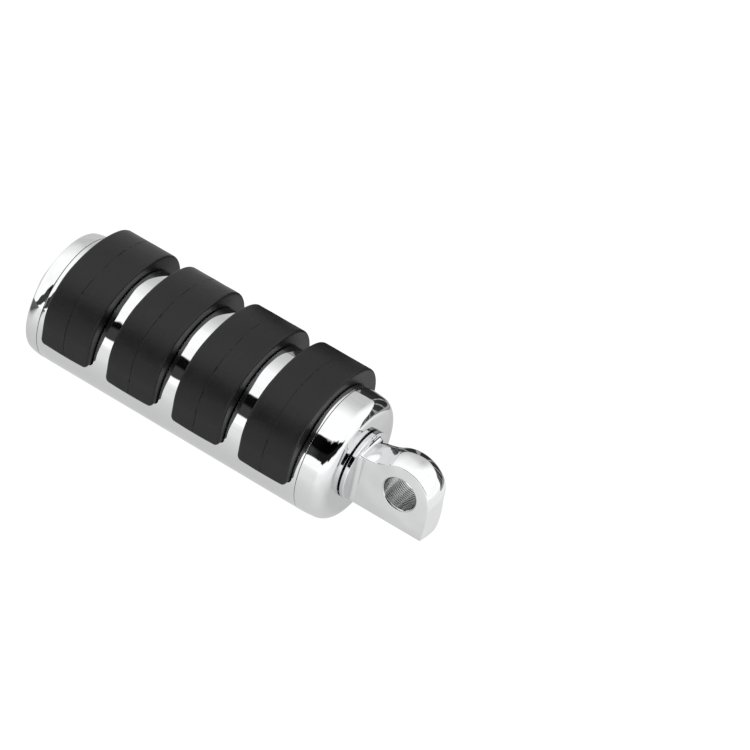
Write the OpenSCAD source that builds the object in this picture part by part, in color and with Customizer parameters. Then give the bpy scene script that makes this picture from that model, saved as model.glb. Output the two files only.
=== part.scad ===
// Foot peg with a male mount: a chromed barrel with four C-shaped rubber pads,
// closed by two caps and held to its mount adapter by one long socket screw.
// Frame: origin at the centre of the pivot bore, +X outboard along the barrel,
// +Y along the pivot, +Z up. Lengths in millimetres.

/* [Pivot tongue] */
// diameter of the pivot bore
bore_d = 9.7; // [8:0.1:13]
// chamfer at each mouth of the bore
bore_chamfer = 0.4; // [0:0.1:1]
// thickness of the tongue
tongue_t = 9.2; // [7:0.1:14]
// radius of the tongue's round end
tongue_r = 8.8; // [7:0.1:13]
// depth of the flat stop face below the pivot
stop_drop = 11.05; // [8:0.05:16]
// height of the neck's lowest point above the pivot
neck_h = 5.1; // [2:0.1:8]
// place of the neck's lowest point
neck_x = 12.4; // [10:0.1:16]
// radius of the fillet between the tongue and the collar
neck_fillet = 1.2; // [0.4:0.1:2]

/* [Adapter] */
// drop of the barrel's axis below the pivot
axis_drop = 2; // [0:0.1:6]
// place of the collar's front face
collar_x = 13.1; // [11:0.1:18]
// thickness of the collar
collar_t = 1.3; // [0.8:0.1:4]
// radius of the collar
collar_r = 9.9; // [8:0.1:12]
// diameter of the stem
stem_d = 14; // [12:0.5:16]
// far end of the stem
stem_end = 30; // [26:0.5:34]

/* [Thrust washer and bush] */
// thickness of the thrust washer
thrust_t = 0.8; // [0.5:0.1:1.5]
// outer radius of the thrust washer
thrust_r = 8.9; // [8.2:0.1:9.5]
// outer diameter of the stem bush
bush_d = 16; // [15:0.5:18]
// length of the stem bush
bush_l = 8.4; // [6:0.1:12]

/* [Inner cap] */
// place of the inner cap's face
cap_face = 14.7; // [14:0.1:18]
// radius of the inner cap's shoulder
shoulder_r = 3.9; // [1:0.1:8]
// depth of the face recess for the thrust washer
face_recess = 0.8; // [0.4:0.1:2]

/* [Barrel] */
// outer radius of the barrel and caps
barrel_r = 18; // [14:0.1:22]
// inner radius of the barrel
barrel_bore_r = 12.5; // [10:0.1:14]
// near end of the barrel
barrel_x0 = 22.85; // [20:0.05:26]
// far end of the barrel
barrel_x1 = 105.45; // [100:0.05:110]
// width of each seam ring
seam_w = 0.3; // [0.1:0.05:0.6]
// thickness of the inner webs
web_t = 5; // [3:0.5:8]
// depth of the spigots inside the barrel
spigot_l = 7.4; // [5:0.1:10]

/* [Pads] */
// number of pads
pad_n = 4; // [1:1:4]
// place of the first pad's foot
pad_x0 = 24.4; // [23.5:0.05:26]
// width of a pad at its foot
pad_foot_w = 15.2; // [12:0.1:18]
// distance from one pad to the next
pad_pitch = 21.05; // [18:0.05:24]
// height of the tread's top above the barrel's axis
tread_h = 21.1; // [19:0.05:24]
// half width of a pad across its two sides
tread_side = 20.2; // [19:0.05:24]
// radius of the tread's crown
crown_r = 31; // [24:0.5:50]
// radius of the tread's two shoulders
tread_corner_r = 14.8; // [8:0.1:18]
// radius of the pad's seat in the barrel
seat_r = 16.5; // [15:0.1:17.5]
// drop of the pad's lower ends below the barrel's axis
pad_drop = 0.9; // [0:0.1:4]
// gap around a pad in its pocket
pad_gap = 0.25; // [0.1:0.05:0.5]
// radius of the pad's lower corners
corner_r = 1.6; // [0.5:0.1:3]
// diameter of the moulded lugs that hold a pad
lug_d = 5; // [4:0.1:7]
// radius the lugs' tips reach in to
lug_tip_r = 13.6; // [13.2:0.1:15.5]
// angle of the lugs either side of the top
lug_angle = 45; // [30:1:60]

/* [Outer cap] */
// length of the outer cap's band, to the corner
band_l = 3.85; // [2:0.05:8]
// height of the cone face
cone_h = 5.3; // [2:0.1:8]
// radius of the counterbore
well_r = 6.3; // [6:0.1:8]
// round of the cap's corner
cap_round = 1.2; // [0.4:0.1:2]

/* [Screw and washers] */
// diameter of the socket screw
screw_d = 6; // [5:0.5:8]
// length of the screw under its head
screw_l = 90; // [80:5:100]
// diameter of the screw's head
head_d = 10; // [8:0.5:13]
// height of the screw's head
head_h = 6; // [5:0.5:8]
// width across flats of the hex socket
hex_af = 5; // [4:1:6]
// depth of the hex socket
hex_depth = 3; // [2:0.5:4]
// depth of the head's top below the rim
head_sunk = 0.5; // [0:0.1:2]
// thickness of each washer
washer_t = 1.6; // [1:0.1:2]
// outer radius of the flat washer
washer_r = 6; // [5:0.1:6.2]
// outer radius of the spring washer
spring_r = 4.95; // [4.5:0.05:6]

/* [Locating pins] */
// diameter of the pins between cap and barrel
pin_d = 3; // [2:0.5:4]
// radius of the circle the pins stand on
pin_ring = 10.4; // [9.8:0.1:10.9]

/* [Hidden] */
$fn = 96;
slack = 0.3;
axis_z = -axis_drop;
cap_x1 = barrel_x0 - seam_w;
out_x0 = barrel_x1 + seam_w;
corner_x = out_x0 + band_l;
rim_x = corner_x + cone_h;
web_in = barrel_x0 + spigot_l;
web_out = barrel_x1 - spigot_l;
head_top = rim_x - head_sunk;
head_under = head_top - head_h;
spring_x = head_under - washer_t;
washer_x = spring_x - washer_t;
well_floor = washer_x - slack;
screw_tip = head_under - screw_l;
neck_rc = (neck_x*neck_x + neck_h*neck_h - tongue_r*tongue_r) / (2*(tongue_r - neck_h));
neck_zc = neck_h + neck_rc;
touch_x = tongue_r * neck_x / (tongue_r + neck_rc);
touch_z = tongue_r * neck_zc / (tongue_r + neck_rc);
cone_len = sqrt(cone_h*cone_h + (barrel_r - well_r)*(barrel_r - well_r));
cone_nx = (barrel_r - well_r) / cone_len;
cone_nr = cone_h / cone_len;
round_x = corner_x - cap_round * (1 - cone_nr) / cone_nx;
round_y = barrel_r - cap_round;
pin_y = pin_ring;
crown_z = tread_h - crown_r;
shoulder_y = tread_side - tread_corner_r;
shoulder_z = crown_z + sqrt(pow(crown_r - tread_corner_r, 2) - shoulder_y*shoulder_y);
crown_a = atan2(shoulder_y, shoulder_z - crown_z);
ring_groove_x = 25.6;
ring_w = 1.8;

// a round bar along the barrel's axis
module bar(x0, x1, r) {
  translate([x0, 0, axis_z])
    rotate([0, 90, 0])
      cylinder(h = x1 - x0, r = r);
}

// a ring along the barrel's axis
module tube(x0, x1, r0, r1) {
  difference() {
    bar(x0, x1, r1);
    bar(x0 - 1, x1 + 1, r0);
  }
}

// a profile drawn as [radius, x], turned about the barrel's axis
module turned() {
  translate([0, 0, axis_z])
    rotate([0, 90, 0])
      rotate_extrude()
        children();
}

// the tongue's outline, seen along the pivot
module tongue_outline() {
  circle(r = tongue_r);
  translate([-tongue_r, -stop_drop])
    square([tongue_r + touch_x, stop_drop]);
  difference() {
    translate([0, -stop_drop])
      square([neck_x, stop_drop + touch_z]);
    translate([neck_x, neck_zc])
      circle(r = neck_rc);
    translate([-1, tongue_r * 0.5])
      square([touch_x + 1, tongue_r]);
  }
  translate([neck_x - 1, -stop_drop])
    square([collar_x - neck_x + 1.2, stop_drop + neck_h]);
}

// the fillet where the tongue's sides run out into the collar
module side_fillet() {
  difference() {
    translate([collar_x - neck_fillet, -tongue_t/2 - neck_fillet, -stop_drop + 0.4])
      cube([neck_fillet + 0.1, tongue_t + 2*neck_fillet, stop_drop + neck_h - 0.8]);
    for (s = [-1, 1])
      translate([collar_x - neck_fillet, s * (tongue_t/2 + neck_fillet), -stop_drop - 1])
        cylinder(h = stop_drop + neck_h + 2, r = neck_fillet);
  }
}

module mount_adapter() {
  color([0.80, 0.81, 0.83])
    difference() {
      union() {
        translate([0, tongue_t/2, 0])
          rotate([90, 0, 0])
            linear_extrude(height = tongue_t)
              tongue_outline();
        intersection() {
          side_fillet();
          bar(collar_x - 3, collar_x + 1, collar_r);
        }
        bar(collar_x, collar_x + collar_t, collar_r);
        difference() {
          bar(collar_x, stem_end, stem_d/2);
          tube(ring_groove_x, ring_groove_x + ring_w + 0.4, stem_d/2 - 1.2, stem_d/2 + 1);
        }
      }
      translate([0, tongue_t/2 + 1, 0])
        rotate([90, 0, 0])
          cylinder(h = tongue_t + 2, r = bore_d/2);
      for (s = [0, 1])
        mirror([0, s, 0])
          translate([0, tongue_t/2 + 0.1, 0])
            rotate([90, 0, 0])
              cylinder(h = bore_chamfer + 0.1, r1 = bore_d/2 + bore_chamfer + 0.1, r2 = bore_d/2);
      bar(screw_tip - 2, stem_end + 1, screw_d/2 + 0.05);
    }
}

module thrust_washer() {
  color([0.12, 0.12, 0.13])
    tube(collar_x + collar_t, collar_x + collar_t + thrust_t, stem_d/2 + 0.1, thrust_r);
}

module stem_bush() {
  color([0.72, 0.55, 0.28])
    tube(cap_face + face_recess + 0.6, cap_face + face_recess + 0.6 + bush_l, stem_d/2 + 0.05, bush_d/2 - 0.02);
}

module stem_seal_ring() {
  color([0.08, 0.08, 0.09])
    turned()
      translate([stem_d/2 - 1.15 + ring_w/2, ring_groove_x + 0.2 + ring_w/2])
        circle(r = ring_w/2);
}

module inner_cap() {
  color([0.82, 0.83, 0.85])
    difference() {
      union() {
        turned() {
          translate([0, cap_face])
            square([barrel_r - shoulder_r, cap_x1 - cap_face]);
          translate([0, cap_face + shoulder_r])
            square([barrel_r, cap_x1 - cap_face - shoulder_r]);
          translate([barrel_r - shoulder_r, cap_face + shoulder_r])
            circle(r = shoulder_r);
        }
        bar(cap_x1 - 1, web_in - 0.05, barrel_bore_r - 0.05);
      }
      bar(cap_face - 1, cap_face + face_recess, thrust_r + 0.4);
      bar(cap_face, web_in + 1, bush_d/2);
      for (s = [-1, 1])
        translate([0, s * pin_y, 0])
          bar(web_in - 4, web_in + 1, pin_d/2);
    }
}

module inner_seam_ring() {
  color([0.06, 0.06, 0.07])
    tube(cap_x1, barrel_x0, barrel_bore_r, barrel_r - 0.35);
}

module inner_cap_pins() {
  color([0.62, 0.63, 0.65])
    for (s = [-1, 1])
      translate([0, s * pin_y, 0])
        bar(web_in - 3.8, web_in + web_t - 0.2, pin_d/2 - 0.02);
}

// the side outline of a pad or of its pocket, grown by g
module pad_side(g) {
  w = pad_foot_w + 2*g;
  r = corner_r + g;
  low = -pad_drop - g;
  translate([-g, low + r])
    square([w, 40]);
  translate([r - g, low])
    square([w - 2*r, 10]);
  translate([r - g, low + r])
    circle(r = r);
  translate([w - r - g, low + r])
    circle(r = r);
}

// the side outline as a block through the barrel
module pad_block(x, g) {
  translate([x, 30, axis_z])
    rotate([90, 0, 0])
      linear_extrude(height = 60)
        pad_side(g);
}

// lug holes or lugs of the pad at x
module pad_lugs(x, r0, r1, d) {
  for (s = [-1, 1])
    translate([x + pad_foot_w/2, 0, axis_z])
      rotate([s * lug_angle, 0, 0])
        translate([0, 0, r0])
          cylinder(h = r1 - r0, d = d);
}

module barrel_shell() {
  color([0.83, 0.84, 0.86])
    difference() {
      bar(barrel_x0, barrel_x1, barrel_r);
      bar(barrel_x0 - 1, web_in, barrel_bore_r);
      bar(web_out, barrel_x1 + 1, barrel_bore_r);
      bar(web_in + web_t, web_out - web_t, barrel_bore_r);
      bar(web_in - 1, web_out + 1, 7.6);
      for (i = [0 : pad_n - 1]) {
        intersection() {
          pad_block(pad_x0 + i * pad_pitch, pad_gap);
          tube(barrel_x0, barrel_x1, seat_r, barrel_r + 2);
        }
        pad_lugs(pad_x0 + i * pad_pitch, lug_tip_r - 0.2, seat_r + 1, lug_d + 0.2);
      }
      for (s = [-1, 1]) {
        translate([0, s * pin_y, 0])
          bar(web_in - 1, web_in + web_t + 1, pin_d/2);
        translate([0, s * pin_y, 0])
          bar(web_out - web_t - 1, web_out + 1, pin_d/2);
      }
    }
}

// a pad's cross-section, [y, z] from the barrel's axis: crowned top, round shoulders, upright sides
module tread_section() {
  translate([-tread_side, -5])
    square([2*tread_side, 5 + shoulder_z]);
  for (s = [-1, 1])
    translate([s * shoulder_y, shoulder_z])
      circle(r = tread_corner_r);
  intersection() {
    translate([0, crown_z])
      circle(r = crown_r);
    polygon([[-shoulder_y, shoulder_z], [shoulder_y, shoulder_z],
      [shoulder_y + 20*sin(crown_a), shoulder_z + 20*cos(crown_a)],
      [-shoulder_y - 20*sin(crown_a), shoulder_z + 20*cos(crown_a)]]);
  }
}

// one C-shaped pad, with rounded lower corners
module pad(x) {
  color([0.11, 0.11, 0.115])
    union() {
      difference() {
        intersection() {
          pad_block(x, 0);
          translate([x, 0, axis_z])
            rotate([90, 0, 90])
              linear_extrude(height = pad_foot_w)
                tread_section();
        }
        bar(x - 1, x + pad_foot_w + 1, seat_r);
      }
      pad_lugs(x, lug_tip_r, seat_r + 1, lug_d);
    }
}

module pad_1() { pad(pad_x0); }
module pad_2() { pad(pad_x0 + pad_pitch); }
module pad_3() { pad(pad_x0 + 2*pad_pitch); }
module pad_4() { pad(pad_x0 + 3*pad_pitch); }

module outer_seam_ring() {
  color([0.06, 0.06, 0.07])
    tube(barrel_x1, out_x0, barrel_bore_r, barrel_r - 0.35);
}

module outer_cap_pins() {
  color([0.62, 0.63, 0.65])
    for (s = [-1, 1])
      translate([0, s * pin_y, 0])
        bar(web_out - web_t + 0.2, web_out + 3.8, pin_d/2 - 0.02);
}

module outer_cap() {
  color([0.82, 0.83, 0.85])
    difference() {
      union() {
        turned() {
          polygon([[0, out_x0], [barrel_r, out_x0], [barrel_r, round_x],
            [round_y, round_x], [round_y + cap_round*cone_nr, round_x + cap_round*cone_nx],
            [well_r, rim_x], [0, rim_x]]);
          translate([round_y, round_x])
            circle(r = cap_round);
        }
        bar(web_out + 0.05, out_x0 + 1, barrel_bore_r - 0.05);
      }
      bar(well_floor, rim_x + 1, well_r);
      bar(web_out - 1, rim_x, screw_d/2 + 0.3);
      for (s = [-1, 1])
        translate([0, s * pin_y, 0])
          bar(web_out - 1, web_out + 4, pin_d/2);
    }
}

module flat_washer() {
  color([0.66, 0.67, 0.69])
    tube(washer_x, spring_x, screw_d/2 + 0.2, washer_r);
}

module spring_washer() {
  color([0.60, 0.61, 0.63])
    difference() {
      tube(spring_x, head_under, screw_d/2 + 0.1, spring_r);
      translate([spring_x - 1, 0, axis_z])
        rotate([0, 0, 18])
          translate([0, -0.5, 0])
            cube([washer_t + 3, 1, spring_r + 1]);
    }
}

module socket_screw() {
  color([0.70, 0.71, 0.73])
    difference() {
      union() {
        bar(screw_tip, head_under + 0.5, screw_d/2);
        bar(head_under, head_top, head_d/2);
      }
      translate([head_top - hex_depth, 0, axis_z])
        rotate([0, 90, 0])
          cylinder(h = hex_depth + 1, r = hex_af / sqrt(3), $fn = 6);
    }
}

mount_adapter();
thrust_washer();
stem_bush();
stem_seal_ring();
inner_cap();
inner_seam_ring();
inner_cap_pins();
barrel_shell();
pad_1();
pad_2();
pad_3();
pad_4();
outer_seam_ring();
outer_cap_pins();
outer_cap();
flat_washer();
spring_washer();
socket_screw();
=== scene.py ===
"""Foot peg with a male mount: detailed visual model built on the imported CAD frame.
Everything is in metres in the row frame: origin in the pivot bore, +X along the barrel, +Z up.
Mesh code below works in millimetres and scales once, in make_mesh()."""

import math

import bmesh
import bpy
import numpy as np
from mathutils import Matrix, Vector, noise


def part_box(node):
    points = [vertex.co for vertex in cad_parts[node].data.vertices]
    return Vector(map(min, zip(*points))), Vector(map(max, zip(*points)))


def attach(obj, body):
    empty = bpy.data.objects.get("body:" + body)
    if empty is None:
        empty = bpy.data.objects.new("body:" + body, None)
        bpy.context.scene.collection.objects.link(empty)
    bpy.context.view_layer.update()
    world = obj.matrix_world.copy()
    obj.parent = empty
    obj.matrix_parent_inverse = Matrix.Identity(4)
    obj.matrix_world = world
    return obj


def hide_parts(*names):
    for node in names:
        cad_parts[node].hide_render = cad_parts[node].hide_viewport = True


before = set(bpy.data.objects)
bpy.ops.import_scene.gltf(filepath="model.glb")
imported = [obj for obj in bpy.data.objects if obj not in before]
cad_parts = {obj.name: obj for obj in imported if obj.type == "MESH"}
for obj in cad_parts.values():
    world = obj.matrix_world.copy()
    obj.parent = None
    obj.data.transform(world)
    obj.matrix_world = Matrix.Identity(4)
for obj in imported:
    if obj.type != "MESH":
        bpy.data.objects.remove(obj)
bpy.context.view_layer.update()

MM = 0.001
TAU = 2 * math.pi


def mm_box(node):
    lo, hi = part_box(node)
    return np.array(lo) * 1000, np.array(hi) * 1000


# ---------------------------------------------------------------- sizes, from the CAD nodes
BARREL_LO, BARREL_HI = mm_box("barrel_shell")
CAP_IN_LO, CAP_IN_HI = mm_box("inner_cap")
CAP_OUT_LO, CAP_OUT_HI = mm_box("outer_cap")
MOUNT_LO, MOUNT_HI = mm_box("mount_adapter")
SCREW_LO, SCREW_HI = mm_box("socket_screw")
WASH_LO, WASH_HI = mm_box("thrust_washer")

AXIS_Z = (BARREL_LO[2] + BARREL_HI[2]) / 2
R = (BARREL_HI[2] - BARREL_LO[2]) / 2
SEAT_R = 16.5
PAD_DROP = 0.9
SEAM_HALF = 0.06
SEAM_IN = BARREL_LO[0] - 0.13
SEAM_OUT = BARREL_HI[0] + 0.13
FACE_X = CAP_IN_LO[0]
TONGUE_T = 9.2
TONGUE_R = -MOUNT_LO[0]
STOP_Z = -11.05
BORE_R = 4.85
COLLAR_X = 13.1
COLLAR_T = 1.3
COLLAR_R = 9.9
NECK_X, NECK_Z = 12.4, 5.1
STEM_R = 7.0
WELL_R = 6.3
BARREL_BORE_R = 12.5
SPIGOT_R = 12.45
HEAD_H = 6
WASHER_T = 1.6


# ---------------------------------------------------------------- mesh helpers
def make_mesh(name, verts, faces, normals=None, attributes=None):
    """A mesh object from millimetre vertices, with exact vertex normals if they are given."""
    me = bpy.data.meshes.new(name)
    me.from_pydata([tuple(float(c) * MM for c in v) for v in verts], [], faces)
    me.update()
    me.shade_smooth()
    if attributes:
        for key, values in attributes.items():
            a = me.attributes.new(key, "FLOAT", "POINT")
            a.data.foreach_set("value", np.asarray(values, np.float32))
    if normals is not None:
        n = np.asarray(normals, float)
        n /= np.maximum(np.linalg.norm(n, axis=1, keepdims=True), 1e-9)
        me.normals_split_custom_set_from_vertices([tuple(v) for v in n])
    ob = bpy.data.objects.new(name, me)
    bpy.context.scene.collection.objects.link(ob)
    return ob


def rounded(points):
    """Points are (a, b, radius, steps, share of the sides it may use). Returns the closed outline with each
    corner rounded, as positions and outward normals. The outline runs clockwise in (a, b), seen with a to
    the right."""
    n = len(points)
    pos, nor = [], []
    for i in range(n):
        p = np.array(points[i][:2], float)
        a = np.array(points[i - 1][:2], float)
        b = np.array(points[(i + 1) % n][:2], float)
        r = points[i][2] if len(points[i]) > 2 else 0.08
        steps = points[i][3] if len(points[i]) > 3 else 4
        u = (a - p) / np.linalg.norm(a - p)
        w = (b - p) / np.linalg.norm(b - p)
        turn = math.acos(max(-1, min(1, float(u @ w))))
        n0 = np.array([u[1], -u[0]])
        if abs(math.pi - turn) < 1e-4:
            pos.append(p)
            nor.append(n0)
            continue
        share = points[i][4] if len(points[i]) > 4 else 0.48
        cut = min(r / math.tan(turn / 2), share * min(np.linalg.norm(a - p), np.linalg.norm(b - p)))
        r = cut * math.tan(turn / 2)
        mid = (u + w) / np.linalg.norm(u + w)
        centre = p + mid * (r / math.sin(turn / 2))
        convex = float(n0 @ mid) < 0
        start, end = p + u * cut, p + w * cut
        a0 = math.atan2(*(start - centre)[::-1])
        a1 = math.atan2(*(end - centre)[::-1])
        d = (a1 - a0 + math.pi) % TAU - math.pi
        for k in range(steps + 1):
            t = a0 + d * k / steps
            e = np.array([math.cos(t), math.sin(t)])
            pos.append(centre + r * e)
            nor.append(e if convex else -e)
    return np.array(pos), np.array(nor)


def around(x, r, phi):
    """A point at angle phi from the top of the barrel, turning towards +Y."""
    return (x, r * math.sin(phi), AXIS_Z + r * math.cos(phi))


def lathe(name, points, segments=256):
    """A turned solid: points are (x, radius, corner radius, steps, share), as in rounded(), going round the
    section clockwise with x to the right and radius up."""
    pos, nor = rounded(points)
    verts, norms, faces = [], [], []
    m = len(pos)
    for j in range(segments):
        phi = TAU * j / segments
        s, c = math.sin(phi), math.cos(phi)
        for (x, r), (nx, nr) in zip(pos, nor):
            verts.append(around(x, r, phi))
            norms.append((nx, nr * s, nr * c))
    for j in range(segments):
        k = (j + 1) % segments
        for i in range(m):
            h = (i + 1) % m
            faces.append((j * m + i, j * m + h, k * m + h, k * m + i))
    return make_mesh(name, verts, faces, norms)


# ---------------------------------------------------------------- materials
def new_material(name):
    mat = bpy.data.materials.new(name)
    mat.use_nodes = True
    nt = mat.node_tree
    nt.nodes.clear()
    out = nt.nodes.new("ShaderNodeOutputMaterial")
    bsdf = nt.nodes.new("ShaderNodeBsdfPrincipled")
    nt.links.new(bsdf.outputs["BSDF"], out.inputs["Surface"])
    return mat, nt, bsdf


def node(nt, kind, inputs=None, **props):
    n = nt.nodes.new(kind)
    for key, value in props.items():
        setattr(n, key, value)
    for key, value in (inputs or {}).items():
        if isinstance(value, bpy.types.NodeSocket):
            nt.links.new(value, n.inputs[key])
        else:
            n.inputs[key].default_value = value
    return n


def noise_tex(nt, vec, scale, detail, rough):
    settings = {"Vector": vec, "Scale": scale, "Detail": detail, "Roughness": rough}
    return node(nt, "ShaderNodeTexNoise", settings).outputs["Fac"]


def ramp(nt, fac, lo, hi, to_lo, to_hi):
    return node(
        nt,
        "ShaderNodeMapRange",
        {"Value": fac, "From Min": lo, "From Max": hi, "To Min": to_lo, "To Max": to_hi},
    ).outputs["Result"]


def calc(nt, kind, a, b=0.0, c=0.0):
    return node(nt, "ShaderNodeMath", {0: a, 1: b, 2: c}, operation=kind).outputs[0]


def grey_colour(nt, level):
    return node(nt, "ShaderNodeCombineXYZ", {0: level, 1: level, 2: level}).outputs[0]


def mix_colour(nt, fac, a, b):
    n = nt.nodes.new("ShaderNodeMix")
    n.data_type = "RGBA"
    for sock, value in ((n.inputs[0], fac), (n.inputs[6], a), (n.inputs[7], b)):
        if isinstance(value, bpy.types.NodeSocket):
            nt.links.new(value, sock)
        else:
            sock.default_value = value
    return n.outputs[2]


def scaled(nt, coord, scale):
    return node(nt, "ShaderNodeMapping", {"Vector": coord, "Scale": scale}).outputs["Vector"]


def chrome_material(name, tint=0.71, dull=0.03, scratch=1.0, wave=0.42):
    """Bright plate over buffed metal: a slightly wavy mirror with fine wipe marks, haze and small specks."""
    mat, nt, bsdf = new_material(name)
    at = node(nt, "ShaderNodeTexCoord").outputs["Object"]
    haze = noise_tex(nt, at, 55, 4, 0.6)
    wipe = noise_tex(nt, scaled(nt, at, (260, 3400, 3400)), 1.0, 2, 0.5)
    grime = noise_tex(nt, at, 420, 3, 0.55)
    clean = (tint, tint * 1.005, tint * 1.012, 1)
    dim = (tint * 0.955, tint * 0.96, tint * 0.968, 1)
    colour = mix_colour(nt, ramp(nt, haze, 0.3, 0.75, 0, 1), clean, dim)
    nt.links.new(colour, bsdf.inputs["Base Color"])
    bsdf.inputs["Metallic"].default_value = 1.0
    r1 = ramp(nt, haze, 0.35, 0.8, dull, dull + 0.03)
    r2 = ramp(nt, wipe, 0.62, 0.78, 0.0, 0.045 * scratch)
    r3 = ramp(nt, grime, 0.66, 0.80, 0.0, 0.05 * scratch)
    nt.links.new(calc(nt, "ADD", calc(nt, "ADD", r1, r2), r3), bsdf.inputs["Roughness"])
    uneven = noise_tex(nt, at, 95, 1, 0.4)
    buff = node(nt, "ShaderNodeBump", {"Strength": 1.0, "Distance": wave * MM, "Height": uneven})
    bump = node(
        nt,
        "ShaderNodeBump",
        {"Strength": 0.010 * scratch, "Distance": 0.00002, "Height": wipe, "Normal": buff.outputs["Normal"]},
    )
    nt.links.new(bump.outputs["Normal"], bsdf.inputs["Normal"])
    return mat


def rubber_material(name, base=0.0046, grain=1.0):
    """Moulded rubber: matte, finely grained, with dusty scuffs, and paler edges that are partly wear and
    partly a painted highlight.
    """
    mat, nt, bsdf = new_material(name)
    at = node(nt, "ShaderNodeTexCoord").outputs["Object"]
    blotch = noise_tex(nt, at, 120, 4, 0.6)
    speck = noise_tex(nt, at, 900, 3, 0.6)
    fine = noise_tex(nt, at, 4200, 3, 0.65)
    drag = noise_tex(nt, scaled(nt, at, (900, 160, 160)), 1.0, 4, 0.6)
    dark = (base * 0.80, base * 0.80, base * 0.81, 1)
    mid = (base * 1.15, base * 1.15, base * 1.16, 1)
    pale = (base * 2.1, base * 2.1, base * 2.08, 1)
    c = mix_colour(nt, ramp(nt, blotch, 0.35, 0.7, 0, 1), dark, mid)
    c = mix_colour(nt, ramp(nt, drag, 0.56, 0.75, 0, 0.42), c, pale)
    c = mix_colour(nt, ramp(nt, speck, 0.62, 0.72, 0, 0.5), c, (base * 0.45, base * 0.45, base * 0.45, 1))
    # paler edges: partly wear, partly a painted highlight along the rounded tread edges
    edge = node(nt, "ShaderNodeAttribute", attribute_name="worn_and_highlight").outputs["Fac"]
    patchy = ramp(nt, speck, 0.3, 0.7, 0.35, 1.0)
    rub_and_highlight = calc(nt, "MULTIPLY", edge, patchy)
    c = mix_colour(nt, rub_and_highlight, c, (base * 2.6, base * 2.6, base * 2.58, 1))
    line = node(nt, "ShaderNodeAttribute", attribute_name="line").outputs["Fac"]
    c = mix_colour(nt, line, c, (base * 0.15, base * 0.15, base * 0.15, 1))
    nt.links.new(c, bsdf.inputs["Base Color"])
    rough = ramp(nt, blotch, 0.3, 0.75, 0.36, 0.47)
    nt.links.new(calc(nt, "MULTIPLY_ADD", line, 0.45, rough), bsdf.inputs["Roughness"])
    bsdf.inputs["Specular IOR Level"].default_value = 0.29
    low = node(nt, "ShaderNodeBump", {"Strength": 0.35 * grain, "Distance": 0.00012, "Height": speck})
    top = node(
        nt,
        "ShaderNodeBump",
        {"Strength": 0.45 * grain, "Distance": 0.00004, "Height": fine, "Normal": low.outputs["Normal"]},
    )
    nt.links.new(top.outputs["Normal"], bsdf.inputs["Normal"])
    return mat


def steel_material(name, colour, rough, streak=(60, 3000, 3000), metallic=1.0):
    """Plain metal with fine turned streaks and slight staining."""
    mat, nt, bsdf = new_material(name)
    at = node(nt, "ShaderNodeTexCoord").outputs["Object"]
    stain = noise_tex(nt, at, 260, 4, 0.6)
    line = noise_tex(nt, scaled(nt, at, streak), 1.0, 2, 0.5)
    deep = tuple(c * 0.78 for c in colour) + (1,)
    tone = mix_colour(nt, ramp(nt, stain, 0.35, 0.7, 0, 1), tuple(colour) + (1,), deep)
    nt.links.new(tone, bsdf.inputs["Base Color"])
    bsdf.inputs["Metallic"].default_value = metallic
    nt.links.new(ramp(nt, line, 0.3, 0.75, rough * 0.75, rough * 1.3), bsdf.inputs["Roughness"])
    bump = node(nt, "ShaderNodeBump", {"Strength": 0.15, "Distance": 0.00002, "Height": line})
    nt.links.new(bump.outputs["Normal"], bsdf.inputs["Normal"])
    return mat


CHROME = chrome_material("chrome_plate")
CHROME_CAST = chrome_material("chrome_cast", wave=1.6)
CHROME_BORE = chrome_material("chrome_bore", 0.56, 0.11, 1.6)
RUBBER = rubber_material("pad_rubber_black")
SEAL = rubber_material("seal_rubber_black", 0.0046, 0.3)
THRUST = steel_material("thrust_black", (0.02, 0.02, 0.022), 0.45, metallic=0.0)
BRONZE = steel_material("bush_bronze", (0.55, 0.36, 0.16), 0.42)
PIN = steel_material("pin_ground", (0.50, 0.51, 0.53), 0.25)
ZINC = steel_material("washer_zinc", (0.60, 0.61, 0.63), 0.28)
SCREW = steel_material("screw_plate", (0.72, 0.73, 0.75), 0.14, streak=(3000, 500, 500))
SOCKET = steel_material("socket_dark", (0.30, 0.30, 0.31), 0.35)


def give(ob, mat, body):
    ob.data.materials.append(mat)
    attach(ob, body)
    return ob


# ---------------------------------------------------------------- caps, collar, washer: turned parts
def build_inner_cap():
    x0, x1 = FACE_X, SEAM_IN - SEAM_HALF
    crown, x, r, run = [], x1, R, (x1 - x0 - 4.2) / 6
    for k in range(6):  # the band falls off very slightly towards the shoulder
        x, r = x - run, r - run * math.tan(math.radians(1.3 * k))
        crown.append((x, r, 20, 2))
    ob = lathe(
        "inner_cap_plated",
        [
            (x0 + 0.8, 8.0, 0.05),
            (x0 + 0.8, 9.3, 0.05),
            (x0, 9.3, 0.12),
            (x0, r - 0.40, 3.9, 40, 0.95),
            *reversed(crown),
            (x1, R, 0.10, 5),
            (x1, SPIGOT_R, 0.05),
            (CAP_IN_HI[0], SPIGOT_R, 0.3),
            (CAP_IN_HI[0], 8.0, 0.1),
        ],
    )
    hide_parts("inner_cap")
    return give(ob, CHROME, "barrel")


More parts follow.
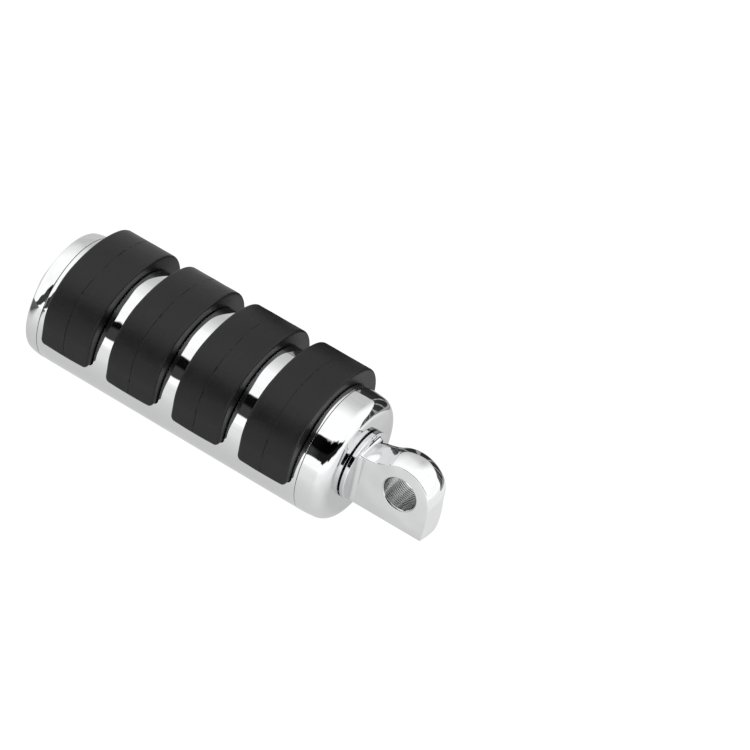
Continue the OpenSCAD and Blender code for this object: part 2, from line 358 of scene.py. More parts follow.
def build_outer_cap():
    x0 = SEAM_OUT + SEAM_HALF
    rim = CAP_OUT_HI[0]
    corner = rim - 5.3
    floor = SCREW_HI[0] - HEAD_H - WASHER_T - WASHER_T - 0.3
    crown, x, r, run = [], x0, R, (corner - x0) / 6
    for k in range(6):  # the band falls off a little towards the end
        x, r = x + run, r - run * math.tan(math.radians(3.2 * k))
        crown.append((x, r, 11, 2))
    crown[-1] = (x, r, 1.5, 16)
    ob = lathe(
        "outer_cap_plated",
        [
            (x0, R, 0.10, 5),
            *crown,
            (rim, WELL_R, 0.16, 5),
            (floor, WELL_R, 0.1),
            (floor, 3.3, 0.1),
            (CAP_OUT_LO[0], 3.3, 0.1),
            (CAP_OUT_LO[0], SPIGOT_R, 0.3),
            (x0, SPIGOT_R, 0.05),
        ],
    )
    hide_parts("outer_cap")
    return give(ob, CHROME, "barrel")


def build_thrust_washer():
    ob = lathe(
        "thrust_washer_black",
        [
            (WASH_LO[0], 7.1, 0.05),
            (WASH_LO[0], 8.9, 0.12),
            (WASH_HI[0], 8.9, 0.12),
            (WASH_HI[0], 7.1, 0.05),
        ],
        160,
    )
    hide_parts("thrust_washer")
    return give(ob, THRUST, "mount")


# ---------------------------------------------------------------- barrel, with a pocket for each pad
PAD_FOOT_W = 15.2
PAD_X = [mm_box(f"pad_{i}")[0][0] for i in (1, 2, 3, 4)]


def build_barrel():
    x0, x1 = SEAM_IN + SEAM_HALF, SEAM_OUT - SEAM_HALF
    gap, lip, corner = 0.25, 0.13, 1.85
    end_phi = math.asin((PAD_DROP + gap) / R) + math.pi / 2  # the pocket's lower end
    half = PAD_FOOT_W / 2 + gap
    # side lines of the chrome between pockets, for each row of the pocketed part
    arc = 10
    rows = []
    for k in range(arc + 1):  # from the straight side round the corner to the lower end
        t = math.pi / 2 * k / arc
        rr = corner + lip
        row_phi = end_phi + lip / R - (rr - rr * math.sin(t)) / R
        rows.append((row_phi, half + lip - rr + rr * math.cos(t), t))
    straight = 150
    inner_phi = rows[0][0]
    phis, halves, turns = [], [], []
    lines = [(-p, h, -t) for p, h, t in reversed(rows)]
    lines += [(-inner_phi + 2 * inner_phi * k / straight, half + lip, 0.0) for k in range(1, straight)]
    for p, h, t in lines + rows:
        phis.append(p)
        halves.append(h)
        turns.append(t)
    verts, norms, faces = [], [], []

    def add(x, r, phi, n):
        """n is (along x, outward, along increasing phi)."""
        s, c = math.sin(phi), math.cos(phi)
        verts.append(around(x, r, phi))
        norms.append((n[0], n[1] * s + n[2] * c, n[1] * c - n[2] * s))
        return len(verts) - 1

    centres = [x + PAD_FOOT_W / 2 for x in PAD_X]
    ends_in = [(x0, BARREL_BORE_R, -1, 0), (x0, R - lip, -1, 0)]
    for a in (0.4, 0.8, 1.2):
        c, s = math.cos(a), math.sin(a)
        ends_in.append((x0 + lip - lip * c, R - lip + lip * s, -c, s))
    ends_out = [(x0 + x1 - x, r, -nx, nr) for x, r, nx, nr in reversed(ends_in)]
    cols = 5
    inside = 14

    def strip(phi, a, b, n_cols):
        return [add(a + (b - a) * k / n_cols, R, phi, (0, 1, 0)) for k in range(n_cols + 1)]

    last = len(phis) - 1
    grid = []
    for j, phi in enumerate(phis):
        h = halves[j]
        first = [add(x, r, phi, (nx, nr, 0)) for x, r, nx, nr in ends_in]
        parts = []
        a = x0 + lip
        for c in centres:
            parts.append(strip(phi, a, c - h, cols))
            a = c + h
        tail = []
        for k in range(9):  # the last strip falls off a little to the seam
            f = max(0.0, (k - 3) / 5)
            tail.append(add(a + (x1 - lip - a) * k / 8, R - 0.05 * f * f, phi, (0.13 * f, 1, 0)))
        final = [add(x, r, phi, (nx, nr, 0)) for x, r, nx, nr in ends_out]
        parts[0] = first + parts[0]
        tail = tail + final
        grid.append(parts + [tail])
    for j in range(last):
        for a, b in zip(grid[j], grid[j + 1]):
            for k in range(len(a) - 1):
                faces.append((a[k], a[k + 1], b[k + 1], b[k]))
    # the plain part below the pockets: full rows
    bridge = {}
    for j in (0, last):
        inner = []
        for i, c in enumerate(centres):
            left, right = grid[j][i][-1], grid[j][i + 1][0]
            xl, xr = c - halves[j], c + halves[j]
            mid = [add(xl + (xr - xl) * k / inside, R, phis[j], (0, 1, 0)) for k in range(1, inside)]
            inner.append([left] + mid + [right])
        full = list(grid[j][0])
        for i in range(4):
            full += inner[i][1:] + grid[j][i + 1][1:]
        bridge[j] = (full, inner)
    n_plain = 120
    start, stop = phis[last], TAU + phis[0]
    template = bridge[last][0]
    previous = bridge[last][0]
    for k in range(1, n_plain + 1):
        if k == n_plain:
            current = bridge[0][0]
        else:
            phi = start + (stop - start) * k / n_plain
            current = []
            for v in template:
                x = verts[v][0]
                r = math.hypot(verts[v][1], verts[v][2] - AXIS_Z)
                n = norms[v]
                s, c = math.sin(start), math.cos(start)
                outward = n[1] * s + n[2] * c
                current.append(add(x, r, phi, (n[0], outward, 0)))
        for i in range(len(previous) - 1):
            faces.append((previous[i], previous[i + 1], current[i + 1], current[i]))
        previous = current
    # pocket walls: a rounded lip, then straight down to the seat
    for i, c in enumerate(centres):
        loop = []
        for j in range(len(phis)):
            loop.append((grid[j][i][-1], -1, turns[j], j))
        for v in bridge[last][1][i][1:-1]:
            loop.append((v, 0, math.pi / 2, None))
        for j in reversed(range(len(phis))):
            loop.append((grid[j][i + 1][0], 1, turns[j], j))
        for v in reversed(bridge[0][1][i][1:-1]):
            loop.append((v, 0, -math.pi / 2, None))
        steps = [math.pi / 2 * q / 4 for q in range(1, 5)]
        levels = [(lip * math.sin(a), R - lip * (1 - math.cos(a)), a) for a in steps]
        levels.append((lip, SEAT_R, math.pi / 2))
        data = []
        for v, side, t, j in loop:
            x, y, z = verts[v]
            phi = math.atan2(y, z - AXIS_Z)
            # direction into the pocket, in (x, phi)
            if side == 0:
                d = (0.0, -1.0 if t > 0 else 1.0)
            else:
                d = (-side * math.cos(t), -math.sin(t))
            data.append((x, phi, d))
        prev = [entry[0] for entry in loop]
        for off, r, a in levels:
            ring = []
            for x, phi, d in data:
                n = (d[0] * math.sin(a), math.cos(a), d[1] * math.sin(a))
                ring.append(add(x + d[0] * off, r, phi + d[1] * off / R, n))
            m = len(ring)
            for k in range(m):
                h = (k + 1) % m
                faces.append((prev[k], prev[h], ring[h], ring[k]))
            prev = ring
        # the seat under the pad, as a strip joining the two long sides
        count = len(phis)
        left = prev[:count]
        right = prev[count + inside - 1 : 2 * count + inside - 1][::-1]
        for k in range(count - 1):
            faces.append((left[k], right[k], right[k + 1], left[k + 1]))
    ob = make_mesh("barrel_plated", verts, faces, norms)
    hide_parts("barrel_shell")
    return give(ob, CHROME, "barrel")


# ---------------------------------------------------------------- rubber pads
CROWN_R, CROWN_Z = 31.0, -9.9
SHOULDER_R, SHOULDER_Y, SHOULDER_Z = 14.8, 5.4, 5.37
TREAD_SIDE = 20.2
CROWN_END, SHOULDER_END = 0.489, 1.311


def tread_point(phi):
    """The tread's outline at angle phi: position and normal in (y, z) from the barrel's axis."""
    side = -1 if phi < 0 else 1
    s, c = math.sin(abs(phi)), math.cos(phi)
    t = CROWN_Z * c + math.sqrt(CROWN_R**2 - (CROWN_Z * s) ** 2)
    n = np.array([t * s, t * c - CROWN_Z]) / CROWN_R
    if abs(phi) > CROWN_END:
        p = s * SHOULDER_Y + c * SHOULDER_Z
        t = p + math.sqrt(p * p - SHOULDER_Y**2 - SHOULDER_Z**2 + SHOULDER_R**2)
        n = np.array([t * s - SHOULDER_Y, t * c - SHOULDER_Z]) / SHOULDER_R
    if abs(phi) > SHOULDER_END:
        t = TREAD_SIDE / s
        n = np.array([1.0, 0.0])
    return np.array([side * t * s, t * c]), np.array([side * n[0], n[1]])


def build_pad(index):
    """One C-shaped pad: upright walls, a crowned tread with small rounded edges, rounded lower ends,
    and the thin uneven line where the mould's two halves met."""
    name = f"pad_{index}"
    x0 = PAD_X[index - 1]
    half = PAD_FOOT_W / 2
    edge_r, end_r, corner_r = 0.6, 0.6, 1.6
    seed = Vector((index * 7.3, index * 2.9, 0.4))
    n_arc, n_side = 8, 9
    line_at = 0.3

    def along(a, b):
        return noise.noise(Vector((a, b, 0)) + seed)

    sec = [("side", -1, k / n_side) for k in range(n_side)]
    sec += [("arc", -1, k / n_arc) for k in range(n_arc + 1)]
    flats = [-half + edge_r + d for d in (0.35, 0.8, 1.4, 2.1, 2.9, 3.8, 4.7)]
    beside = (0.05, 0.10, 0.16, 0.24, 0.38, 0.6, 0.9, 1.4)
    flats += [line_at - d for d in reversed(beside)] + [line_at] + [line_at + d for d in beside]
    flats += [half - edge_r - d for d in (4.5, 3.6, 2.8, 2.1, 1.4, 0.8, 0.35)]
    sec += [("flat", x, 0) for x in flats]
    sec += [("arc", 1, 1 - k / n_arc) for k in range(n_arc + 1)]
    sec += [("side", 1, 1 - (k + 1) / n_side) for k in range(n_side)]
    # rows: (angle or None, height of the row over the axis, side, distance from the lower end)
    ends = [corner_r * (1 - math.sin(math.pi / 2 * (1 - k / 11))) for k in range(12)]
    top_z = corner_r - PAD_DROP
    plain = math.atan2(TREAD_SIDE, top_z)
    n_mid = 280
    rows = [(None, d - PAD_DROP, -1, d) for d in ends]
    rows += [(-plain + 2 * plain * k / n_mid, 0, 0, 99) for k in range(1, n_mid)]
    rows += [(None, d - PAD_DROP, 1, d) for d in reversed(ends)]
    verts, worn_and_highlight, line = [], [], []
    for phi, z, side, d in rows:
        if phi is None:
            foot = np.array([side * math.sqrt(SEAT_R**2 - z * z), z])
            tread, n = np.array([side * TREAD_SIDE, z]), np.array([side, 0.0])
            phi = side * (math.pi / 2 - z / TREAD_SIDE)
        else:
            foot = SEAT_R * np.array([math.sin(phi), math.cos(phi)])
            tread, n = tread_point(phi)
        sink = end_r - math.sqrt(end_r**2 - (end_r - d) ** 2) if d < end_r else 0.0
        squeeze = 1.0
        if d < corner_r:
            squeeze = 1 - (corner_r - math.sqrt(corner_r**2 - (corner_r - d) ** 2)) / half
        wobble = 0.30 * along(phi * 2.1, 0) + 0.06 * along(phi * 9, 2)
        rough = 0.62 + 0.9 * along(phi * 9, 5) + 0.6 * along(phi * 27, 9)
        dash = max(0.0, along(phi * 14, 31) - 0.42) * 6
        for kind, a, b in sec:
            mark = 0.0
            if kind == "side":
                x = a * half
                p = foot + (tread - n * edge_r - foot) * b
                p = p - n * sink * b
                # painted highlight, partly wear: the top of the wall turns paler towards the rounded edge
                wear_and_highlight = 0.16 * max(0, b - 0.75) * 4
            elif kind == "arc":
                t = math.pi / 2 * b
                x = a * (half - edge_r + edge_r * math.cos(t))
                p = tread - n * (edge_r * (1 - math.sin(t)) + sink)
                # painted highlight, partly wear: the rounded tread edge is paler, most in the middle of the
                # round
                wear_and_highlight = 0.16 + 0.5 * math.sin(2 * t)
            else:
                off = a - line_at
                x = a + wobble * max(0.0, 1 - abs(off) / 2.2)
                q = Vector((x * 0.35, phi * 6.0, index * 5.0)) + seed
                lift = 0.03 * noise.noise(q) + 0.016 * noise.noise(q * 3.1)
                near = math.exp(-((off / (0.11 + 0.08 * min(1.0, dash))) ** 2))
                depth = max(0.0, min(1.0, rough))
                lift -= (0.09 * depth + 0.06 * min(1.0, dash)) * near
                mark = min(1.0, 1.1 * depth + 1.5 * dash) * near
                wear_and_highlight = 0.06 * max(0.0, rough - 0.5) * math.exp(-(((off - 0.3) / 0.16) ** 2))
                p = tread + n * (lift - sink)
            x *= squeeze
            if d < 90:
                fade = max(0.0, 1 - d / corner_r)
                p = p + np.array([0.0, fade * (0.15 - 0.30 * (1 - (x / half) ** 2))])
            verts.append((x0 + half + x, p[0], AXIS_Z + p[1]))
            worn_and_highlight.append(max(0.0, min(1.0, wear_and_highlight)))
            line.append(mark)
    m = len(sec)
    faces = []
    for j in range(len(rows) - 1):
        for i in range(m):
            k = (i + 1) % m
            faces.append((j * m + i, j * m + k, (j + 1) * m + k, (j + 1) * m + i))
    faces.append(tuple(range(m))[::-1])
    faces.append(tuple((len(rows) - 1) * m + i for i in range(m)))
    ob = make_mesh(f"{name}_rubber", verts, faces, attributes={"worn_and_highlight": worn_and_highlight, "line": line})
    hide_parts(name)
    return give(ob, RUBBER, "barrel")


# ---------------------------------------------------------------- mount adapter
def tongue_outline():
    """The tongue's side view as (x, z) points with outward normals, clockwise from the lower rear corner."""
    rc = (NECK_X**2 + NECK_Z**2 - TONGUE_R**2) / (2 * (TONGUE_R - NECK_Z))
    zc = NECK_Z + rc
    pos, nor = [], []
    corner = 0.5

    def put(p, n):
        pos.append(p)
        nor.append(n)

    for k in range(7):  # square lower corner, slightly broken
        t = math.pi / 2 * k / 6
        s, c = math.sin(t), math.cos(t)
        put((-TONGUE_R + corner - corner * s, STOP_Z + corner - corner * c), (-s, -c))
    for k in range(1, 16):  # the end, very slightly full
        z = STOP_Z + corner + (0 - STOP_Z - corner) * k / 16
        bow = (z - STOP_Z - corner) / -(STOP_Z + corner)
        put((-TONGUE_R - 0.30 * math.sin(math.pi * bow), z), (-1, 0.09 * math.cos(math.pi * bow)))
    reach = math.atan2(zc, NECK_X)
    for k in range(72):  # round end
        t = math.pi + (reach - math.pi) * k / 71
        put((TONGUE_R * math.cos(t), TONGUE_R * math.sin(t)), (math.cos(t), math.sin(t)))
    a0, a1 = reach + math.pi, 1.5 * math.pi
    for k in range(1, 31):  # hollow of the neck
        t = a0 + (a1 - a0) * k / 30
        put((NECK_X + rc * math.cos(t), zc + rc * math.sin(t)), (-math.cos(t), -math.sin(t)))
    put((COLLAR_X + 0.3, NECK_Z), (0, 1))
    put((COLLAR_X + 0.3, STOP_Z), (0, -1))
    for k in range(1, 20):
        put((COLLAR_X + 0.3 + (-TONGUE_R + corner - COLLAR_X - 0.3) * k / 20, STOP_Z), (0, -1))
    return pos, nor


def build_tongue():
    pos, nor = tongue_outline()
    m = len(pos)
    edge = 0.36
    half = TONGUE_T / 2
    verts, norms, faces = [], [], []
    # across the width: crisp front edge, slight crown, then the top rolls off into the buffed back edge
    peak, roll, lean = -0.6, 8.0, math.radians(18)
    foot_y = peak - roll * math.sin(lean)
    back_r = (half + foot_y) / (1 - math.sin(lean))
    quarter = np.linspace(0, math.pi / 2, 7)
    front = [(half - edge * (1 - math.cos(t)), -edge * (1 - math.sin(t))) for t in quarter]
    middle = [(y, 0.0) for y in np.linspace(half - edge, peak, 9)[1:]]
    rolled = [(peak - roll * math.sin(t), -roll * (1 - math.cos(t))) for t in np.linspace(0, lean, 13)[1:]]
    back = []
    for t in np.linspace(lean, math.pi / 2, 15)[1:]:
        drop = back_r * (math.cos(lean) - math.cos(t))
        back.append((foot_y - back_r * (math.sin(t) - math.sin(lean)), rolled[-1][1] - drop))
    stack = np.array(front + middle + rolled + back)
    dome = 0.95 * (1 - (np.clip(stack[:, 0] - peak, 0, half - edge - peak) / (half - edge - peak)) ** 2)
    for (x, z), (a, b) in zip(pos, nor):
        full = min(1.0, max(0.0, 0.55 + 0.8 * b / math.hypot(a, b)))
        if x > NECK_X - 2.5:
            full *= max(0.0, (COLLAR_X - x) / (COLLAR_X - NECK_X + 2.5))
        out = full * dome + stack[:, 1]
        slope = np.gradient(np.stack([stack[:, 0], out]), axis=1)
        ny, nn = slope[1], -slope[0]
        ny[0], nn[0], ny[-1], nn[-1] = 1, 0.02, -1, 0.02
        size = np.hypot(ny, nn)
        for y, o, p, q in zip(stack[:, 0], out, ny / size, nn / size):
            px, pz = x + a * o, max(z + b * o, STOP_Z - min(o, 0.0))
            if b < -0.15:  # the square corner is mitred, not turned inside out
                px = max(px, -TONGUE_R - min(o, 0.0))
            verts.append((px, y, pz))
            norms.append((a * q, p, b * q))
    # from one outline point after another to one level after another
    verts = [verts[i * len(stack) + j] for j in range(len(stack)) for i in range(m)]
    norms = [norms[i * len(stack) + j] for j in range(len(stack)) for i in range(m)]
    for j in range(len(stack) - 1):
        for i in range(m):
            k = (i + 1) % m
            faces.append((j * m + i, (j + 1) * m + i, (j + 1) * m + k, j * m + k))
    # bore: chamfer, then the turned wall with its fine tool rings
    seg = 128
    cham = 0.4
    prof = [
        (BORE_R + cham + 0.06, half, 0.0, 1.0),
        (BORE_R + cham, half - 0.02, -0.35, 0.94),
        (BORE_R + cham * 0.5, half - cham * 0.5, -0.707, 0.707),
        (BORE_R + 0.05, half - cham + 0.03, -0.8, 0.6),
        (BORE_R, half - cham - 0.03, -1, 0.12),
    ]
    n_ring = 76
    pitch, ripple = 0.66, 0.03
    inner = []
    depth = half - cham - 0.05
    for k in range(n_ring + 1):
        y = depth - 2 * depth * k / n_ring
        wave = y * TAU / pitch
        inner.append((BORE_R + ripple * math.cos(wave), y, -1.0, ripple * math.sin(wave) * TAU / pitch * 1.5))
    ring = prof + inner + [(r, -y, nr, -ny) for r, y, nr, ny in reversed(prof)]
    start = len(verts)
    for r, y, nr, ny in ring:
        for s in range(seg):
            a = TAU * s / seg
            verts.append((r * math.cos(a), y, r * math.sin(a)))
            norms.append((nr * math.cos(a), ny, nr * math.sin(a)))
    bore_faces = []
    for j in range(len(ring) - 1):
        for s in range(seg):
            t = (s + 1) % seg
            a, b = start + j * seg, start + (j + 1) * seg
            bore_faces.append((a + s, b + s, b + t, a + t))
    # flat sides: fill between the outline and the bore's mouth
    def side(level, bore_level, facing):
        bm = bmesh.new()
        outer = [bm.verts.new(Vector(verts[level * m + i])) for i in range(m)]
        hole = [bm.verts.new(Vector(verts[start + bore_level * seg + s])) for s in range(seg)]
        edges = [bm.edges.new((outer[i], outer[(i + 1) % m])) for i in range(m)]
        edges += [bm.edges.new((hole[i], hole[(i + 1) % seg])) for i in range(seg)]
        index = {v: level * m + i for i, v in enumerate(outer)}
        index.update({v: start + bore_level * seg + s for s, v in enumerate(hole)})
        bmesh.ops.triangle_fill(bm, use_beauty=True, use_dissolve=False, edges=edges)
        made = []
        for f in bm.faces:
            ids = [index[v] for v in f.verts]
            if f.normal.y * facing < 0:
                ids.reverse()
            made.append(tuple(ids))
        bm.free()
        return made

    faces += side(0, 0, 1)
    faces += side(len(stack) - 1, len(ring) - 1, -1)
    n_plain = len(faces)
    faces += bore_faces
    ob = make_mesh("mount_tongue", verts, faces, norms)
    ob.data.materials.append(CHROME_CAST)
    ob.data.materials.append(CHROME_BORE)
    for p in ob.data.polygons[n_plain:]:
        p.material_index = 1
    return ob


def build_fillet():
    """The small hollow where the tongue runs out into the collar."""
    half, edge = TONGUE_T / 2, 0.42
    path = []
    corners = [(half, NECK_Z, 0), (half, STOP_Z, 1), (-half, STOP_Z, 2), (-half, NECK_Z, 3)]
    for y, z, q in corners:
        sy, sz = (1 if y > 0 else -1), (1 if z > 0 else -1)
        cy, cz = y - sy * edge, z - sz * edge
        a0 = (1 - q) * math.pi / 2
        for k in range(9):
            t = a0 - math.pi / 2 * k / 8
            path.append((cy + edge * math.cos(t), cz + edge * math.sin(t), math.cos(t), math.sin(t)))
        ny, nz = path[-1][2], path[-1][3]
        nxt = corners[(q + 1) % 4]
        span_from = np.array(path[-1][:2])
        syn, szn = (1 if nxt[0] > 0 else -1), (1 if nxt[1] > 0 else -1)
        a_next = (1 - (q + 1) % 4) * math.pi / 2
        span_to = np.array(nxt[:2]) - edge * np.array([syn - math.cos(a_next), szn - math.sin(a_next)])
        for k in range(1, 24):
            p = span_from + (span_to - span_from) * k / 24
            path.append((p[0], p[1], ny, nz))
    verts, norms, faces = [], [], []
    steps = 10
    m = len(path)
    for y, z, ny, nz in path:
        # room left on the collar's face, along the path's normal
        py, pz = y, z - AXIS_Z
        b = py * ny + pz * nz
        c = py * py + pz * pz - (COLLAR_R - 0.3) ** 2
        room = -b + math.sqrt(max(0.0, b * b - c)) if b * b > c else 0.0
        r = max(0.04, min(1.2, room))
        for k in range(steps + 1):
            t = math.pi / 2 * k / steps
            off = r - r * math.cos(t)
            verts.append((COLLAR_X - r + r * math.sin(t) + 0.004, y + ny * off, z + nz * off))
            norms.append((-math.sin(t), math.cos(t) * ny, math.cos(t) * nz))
    n = steps + 1
    for i in range(m):
        k = (i + 1) % m
        for s in range(steps):
            faces.append((i * n + s, i * n + s + 1, k * n + s + 1, k * n + s))
    ob = make_mesh("mount_fillet", verts, faces, norms)
    ob.data.materials.append(CHROME)
    return ob


def build_mount():
    tongue = build_tongue()
    fillet = build_fillet()
    collar = lathe(
        "mount_collar",
        [
            (COLLAR_X, 0.6, 0.02),
            (COLLAR_X, COLLAR_R, 0.28, 7),
            (COLLAR_X + COLLAR_T, COLLAR_R, 0.2, 5),
            (COLLAR_X + COLLAR_T, STEM_R, 0.05),
            (MOUNT_HI[0], STEM_R, 0.5),
            (MOUNT_HI[0], 3.05, 0.3),
            (COLLAR_X + 3.3, 3.05, 0.1),
            (COLLAR_X + 3.0, 0.6, 0.1),
        ],
    )
    collar.data.materials.append(CHROME)
    for ob in (tongue, fillet, collar):
        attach(ob, "mount")
    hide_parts("mount_adapter")
    return tongue


# ---------------------------------------------------------------- socket screw
def build_screw():
    top, under = SCREW_HI[0], SCREW_HI[0] - HEAD_H
    across, depth = 5.0, 3.0
    seg = 192
    verts, faces, mats = [], [], []

    def hexagon(phi, flat):
        a = (phi + math.pi / 6) % (math.pi / 3) - math.pi / 6
        return flat / 2 / math.cos(a)

    def knurl(phi):
        return 0.10 * abs(math.sin(phi * 24))

    rings = [  # (x, radius function)
        (SCREW_LO[0] + 0.4, lambda p: 2.6),
        (SCREW_LO[0] + 0.8, lambda p: 3.0),
        (under - 0.3, lambda p: 3.0),
        (under, lambda p: 3.3),
        (under, lambda p: 4.75),
        (under + 0.25, lambda p: 5.0),
        (under + 1.0, lambda p: 5.0),
        (under + 1.15, lambda p: 5.0 - knurl(p)),
        (top - 0.85, lambda p: 5.0 - knurl(p)),
        (top - 0.7, lambda p: 4.98),
    ]
    for k in range(7):
        t = math.pi / 2 * k / 6
        rings.append((top - 0.55 + 0.55 * math.sin(t), lambda p, t=t: 4.43 + 0.55 * math.cos(t)))
    rings += [(top, lambda p: 3.9), (top, lambda p: 3.22), (top - 0.03, lambda p: 3.10)]
    socket_from = len(rings)
    rings += [
        (top - 0.30, lambda p: hexagon(p, across + 0.06)),
        (top - 0.34, lambda p: hexagon(p, across)),
        (top - depth, lambda p: hexagon(p, across)),
        (top - depth - 0.02, lambda p: 2.40),
        (top - depth - 0.9, lambda p: 0.05),
    ]
    for x, rf in rings:
        for s in range(seg):
            phi = TAU * s / seg
            verts.append(around(x, rf(phi), phi))
    for j in range(len(rings) - 1):
        for s in range(seg):
            t = (s + 1) % seg
            faces.append((j * seg + s, j * seg + t, (j + 1) * seg + t, (j + 1) * seg + s))
            mats.append(1 if j >= socket_from else 0)
    faces.append(tuple(range(seg))[::-1])
    mats.append(0)
    ob = make_mesh("socket_screw_plated", verts, faces)
    ob.data.materials.append(SCREW)
    ob.data.materials.append(SOCKET)
    for p, i in zip(ob.data.polygons, mats):
        p.material_index = i
    ob.data.set_sharp_from_angle(angle=math.radians(28))
    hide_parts("socket_screw")
    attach(ob, "mount")
    return ob


build_inner_cap()
build_outer_cap()
build_thrust_washer()
build_barrel()
for number in (1, 2, 3, 4):
    build_pad(number)
build_mount()
build_screw()

for name, mat in {
    "inner_seam_ring": SEAL,
    "outer_seam_ring": SEAL,
    "stem_seal_ring": SEAL,
    "stem_bush": BRONZE,
    "inner_cap_pins": PIN,
    "outer_cap_pins": PIN,
    "flat_washer": ZINC,
    "spring_washer": ZINC,
}.items():
    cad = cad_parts[name]
    cad.data.materials.clear()
    cad.data.materials.append(mat)


# ---------------------------------------------------------------- stage
def by_ray(nt, seen_by_camera, otherwise):
    """One value for what the camera sees directly, another for everything else."""
    seen = node(nt, "ShaderNodeLightPath").outputs["Is Camera Ray"]
    return mix_colour(nt, seen, otherwise, seen_by_camera)


def build_floor():
    """Plain white paper to the camera. To everything else it glows, with a painted shadow: what it sends into
    the plate falls off behind and under the peg.
    """
    mat, nt, bsdf = new_material("floor_pale")
    at = node(nt, "ShaderNodeTexCoord").outputs["Object"]
    part = node(nt, "ShaderNodeSeparateXYZ", {0: at})
    tone = noise_tex(nt, at, 8, 3, 0.5)
    x, y = part.outputs["X"], part.outputs["Y"]
    # painted shadow: the glow is lower under and behind the peg and brighter further out
    near = ramp(nt, y, 0.0, 0.065, 0.62, 0.98)
    far = ramp(nt, y, 0.065, 0.40, 0.0, 0.13)
    side = ramp(nt, x, -0.030, 0.008, 1.06, 0.60)
    lift = ramp(nt, x, 0.0, 0.03, 0.16, 0.0)
    lift = calc(nt, "MULTIPLY", lift, ramp(nt, y, 0.0, 0.02, 0.0, 1.0))
    e = calc(nt, "ADD", calc(nt, "ADD", near, far), lift)
    e = calc(nt, "MAXIMUM", e, side)
    e = calc(nt, "MULTIPLY", ramp(nt, tone, 0.3, 0.7, 0.97, 1.03), e)
    # a painted dark patch past the outer end, seen only in the plate's reflections
    past = ramp(nt, calc(nt, "MULTIPLY_ADD", y, -0.55, x), 0.105, 0.13, 0.0, 1.0)
    past = calc(nt, "MULTIPLY", past, ramp(nt, y, 0.035, 0.06, 0.0, 1.0))
    e = calc(nt, "MULTIPLY", e, ramp(nt, past, 0, 1, 1.0, 0.05))
    glow = grey_colour(nt, e)
    nt.links.new(by_ray(nt, (1.0, 1.0, 1.0, 1), glow), bsdf.inputs["Emission Color"])
    bsdf.inputs["Base Color"].default_value = (0.02, 0.02, 0.02, 1)
    bsdf.inputs["Roughness"].default_value = 0.9
    bsdf.inputs["Emission Strength"].default_value = 1.0
    z = float(BARREL_LO[2]) - 0.02
    verts, faces = [(0, 0, z)], []
    for s in range(96):
        a = TAU * s / 96
        verts.append((4000 * math.cos(a), 4000 * math.sin(a), z))
    for s in range(96):
        faces.append((0, s + 1, (s + 1) % 96 + 1))
    ob = make_mesh("floor", verts, faces)
    ob.data.materials.append(mat)


FLAG_ENDS = (-105, 62)
FLAG_HEIGHT = 38.0
PAD_PITCH = 21.05


def build_flag():
    """A dark banded studio flag behind the peg; it shows only in the plate's reflections."""
    mat, nt, bsdf = new_material("flag_dark")
    at = node(nt, "ShaderNodeTexCoord").outputs["Object"]
    part = node(nt, "ShaderNodeSeparateXYZ", {0: at})
    wave = calc(nt, "SINE", calc(nt, "MULTIPLY", part.outputs["X"], TAU / (PAD_PITCH * MM)))
    gap = ramp(nt, wave, 0.70, 0.86, 0.0, 1.0)
    low = ramp(nt, part.outputs["Z"], -0.004, -0.001, 1.0, 0.0)
    tone = noise_tex(nt, scaled(nt, at, (6, 120, 120)), 1.0, 3, 0.5)
    level = calc(nt, "MULTIPLY", calc(nt, "MAXIMUM", gap, low), ramp(nt, tone, 0.3, 0.7, 0.12, 0.55))
    nt.links.new(grey_colour(nt, calc(nt, "ADD", level, 0.006)), bsdf.inputs["Emission Color"])
    bsdf.inputs["Emission Strength"].default_value = 1.0
    bsdf.inputs["Base Color"].default_value = (0.01, 0.01, 0.01, 1)
    bsdf.inputs["Roughness"].default_value = 0.8
    verts, faces = [], []
    seg = 64
    for x in FLAG_ENDS:
        for s in range(seg):
            a = TAU * s / seg
            height = FLAG_HEIGHT if math.cos(a) > 0 else R
            verts.append((x, R * math.sin(a), height * math.cos(a)))
    for s in range(seg):
        t = (s + 1) % seg
        faces.append((s, t, seg + t, seg + s))
    faces.append(tuple(range(seg))[::-1])
    faces.append(tuple(range(seg, 2 * seg)))
    ob = make_mesh("studio_flag", verts, faces)
    ob.data.materials.append(mat)
    ob.location = (0.015, -0.068, AXIS_Z * MM)
    ob.rotation_euler = (0, 0, math.atan2(0.12, 0.99))
    ob.visible_camera = False
    ob.visible_shadow = False
    ob.visible_diffuse = False


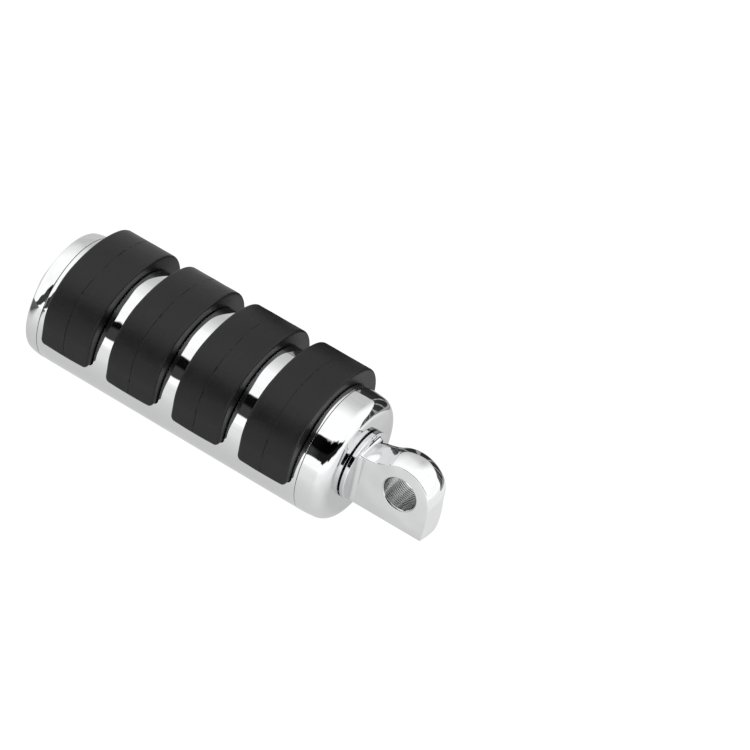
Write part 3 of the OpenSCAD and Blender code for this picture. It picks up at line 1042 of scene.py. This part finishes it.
def build_world():
    """A white studio with the dark of the room in front, as a band with a wavy top."""
    world = bpy.data.worlds.new("studio")
    bpy.context.scene.world = world
    world.use_nodes = True
    nt = world.node_tree
    nt.nodes.clear()
    out = nt.nodes.new("ShaderNodeOutputWorld")
    back = nt.nodes.new("ShaderNodeBackground")
    at = node(nt, "ShaderNodeTexCoord").outputs["Generated"]
    part = node(nt, "ShaderNodeSeparateXYZ", {0: at})
    x, y, z = part.outputs["X"], part.outputs["Y"], part.outputs["Z"]

    # soft white overhead, greyer towards -Y
    grey = calc(nt, "MULTIPLY", ramp(nt, y, -0.72, -0.20, 1.0, 0.0), ramp(nt, x, -0.45, 0.0, 0.0, 1.0))
    mottle = ramp(nt, noise_tex(nt, at, 3.2, 3, 0.55), 0.3, 0.7, -0.06, 0.06)
    light = calc(nt, "ADD", calc(nt, "MULTIPLY_ADD", grey, -0.68, 1.42), mottle)
    # the dark band on the +Y side, its top edge falling away to the left
    turn = calc(nt, "ARCTAN2", y, x)
    away = calc(nt, "MULTIPLY", calc(nt, "SUBTRACT", turn, 1.75), 0.72)
    top = calc(nt, "MULTIPLY_ADD", calc(nt, "MULTIPLY", away, away), -0.42, 0.80)
    top = calc(nt, "ADD", top, ramp(nt, noise_tex(nt, at, 3.6, 1, 0.4), 0.3, 0.7, -0.06, 0.06))
    sink = ramp(nt, x, 0.38, 0.74, 0.0, 0.60)
    top = calc(nt, "SUBTRACT", top, sink)
    under = calc(nt, "MULTIPLY_ADD", calc(nt, "SUBTRACT", top, z), 22.0, 0.5)
    low = ramp(nt, noise_tex(nt, at, 4.0, 1, 0.5), 0.3, 0.7, -0.05, 0.05)
    height = calc(nt, "ADD", calc(nt, "ADD", z, low), sink)
    above = calc(nt, "MULTIPLY", calc(nt, "SUBTRACT", height, 0.245), 26.0)
    front = ramp(nt, y, -0.05, 0.10, 0.0, 1.0)
    band = node(nt, "ShaderNodeClamp", {0: under}).outputs[0]
    band = calc(nt, "MULTIPLY", band, node(nt, "ShaderNodeClamp", {0: above}).outputs[0])
    band = calc(nt, "MULTIPLY", band, front)
    edge = calc(nt, "MULTIPLY", ramp(nt, z, 0.46, 0.52, 0.058, 0.004), ramp(nt, x, 0.10, 0.26, 0.25, 1.0))
    light = calc(nt, "MULTIPLY", light, calc(nt, "SUBTRACT", 1.0, band))
    level = calc(nt, "ADD", light, calc(nt, "MULTIPLY", edge, band))
    nt.links.new(by_ray(nt, (1.0, 1.0, 1.0, 1), grey_colour(nt, level)), back.inputs["Color"])
    back.inputs["Strength"].default_value = 1.0
    nt.links.new(back.outputs[0], out.inputs["Surface"])


def area(name, place, target, size, power):
    light = bpy.data.lights.new(name, "AREA")
    light.shape = "RECTANGLE"
    light.size, light.size_y = size
    light.energy = power
    ob = bpy.data.objects.new(name, light)
    bpy.context.scene.collection.objects.link(ob)
    ob.location = place
    ob.rotation_euler = (Vector(target) - Vector(place)).to_track_quat("-Z", "Y").to_euler()
    return ob


def build_camera():
    """The left peg's view, found by least squares from the peg's own edges."""
    rows = Matrix(((-0.8217, -0.5451, 0.1662), (0.4718, -0.4871, 0.7350), (-0.3197, 0.6824, 0.6574)))
    x, y, z = (Vector(r) for r in rows)
    z.normalize()
    x = (x - z * x.dot(z)).normalized()
    y = z.cross(x)
    turn = Matrix((x, y, z))
    shift = Vector((-8.583, 28.116, 867.7)) * MM
    cam = bpy.data.cameras.new("camera")
    cam.sensor_width = 36
    cam.lens = 3409.2 / 750 * 36
    cam.clip_start, cam.clip_end = 0.05, 50
    ob = bpy.data.objects.new("camera", cam)
    bpy.context.scene.collection.objects.link(ob)
    ob.matrix_world = Matrix.Translation(turn.transposed() @ shift) @ turn.transposed().to_4x4()
    bpy.context.scene.camera = ob


build_floor()
build_flag()
build_world()
key = area("softbox_over", (0.05, 0.10, 1.1), (0.05, 0, 0), (1.1, 0.8), 4)
key.visible_glossy = False
build_camera()
bpy.context.scene.view_settings.view_transform = "Standard"
